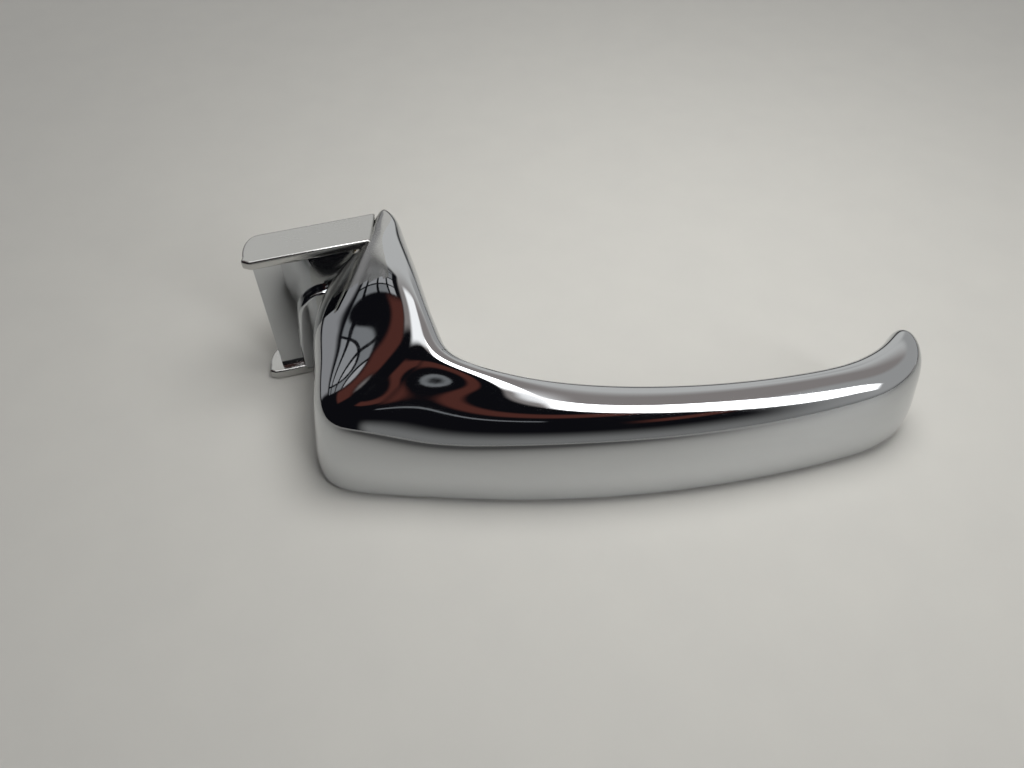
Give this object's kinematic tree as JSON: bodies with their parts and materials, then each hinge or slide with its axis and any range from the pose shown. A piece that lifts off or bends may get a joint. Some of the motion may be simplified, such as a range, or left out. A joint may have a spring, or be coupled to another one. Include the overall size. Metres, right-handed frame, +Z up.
{
  "type": "car door handle",
  "caption": "Chrome-plated L-shaped pull handle for a car door, turning about an upright pin in a sprung hinge bracket.",
  "frame": {"origin": "under the middle of the whole part, at the height of its lower edges", "axes": "+X along the grip from the hinge to its free tip, +Y into the door, +Z up as fitted"},
  "size_m": [0.1808, 0.0693, 0.0454],
  "materials": {
    "chrome_plate": "polished",
    "zinc_steel": "satin",
    "ground_steel": "ground",
    "spring_steel": "blued",
    "spring_wire": "oiled",
    "passivated_steel": "yellow passivated",
    "brass": "turned",
    "nylon": "moulded",
    "rubber": "moulded"
  },
  "bodies": {
    "bracket": {"hinge_bracket": "passivated_steel", "fixing_nuts": "zinc_steel", "lower_bush": "nylon", "upper_bush": "nylon", "spring_sleeve": "nylon", "closed_stop": "rubber", "open_stop": "rubber"},
    "handle": {"handle_body": "chrome_plate", "hinge_arm": "chrome_plate", "inner_cover": "chrome_plate", "cover_clips": "spring_steel", "grip_stiffener": "zinc_steel", "stiffener_screws": "zinc_steel", "threaded_inserts": "brass", "pivot_pin": "ground_steel", "pin_clip": "spring_steel", "wave_washer": "spring_steel", "upper_washer": "nylon", "spacer_tube": "zinc_steel", "return_spring": "spring_wire"}
  },
  "joints": [
    {"name": "handle_pull", "type": "hinge", "parent": "bracket", "child": "handle", "pos_m": [-0.07073, 0.02248, 0.0185], "axis": [0, 0, -1], "range_deg": [0, 25], "stiffness_Nm_per_rad": 0.35, "springref_deg": -20.05}
  ]
}
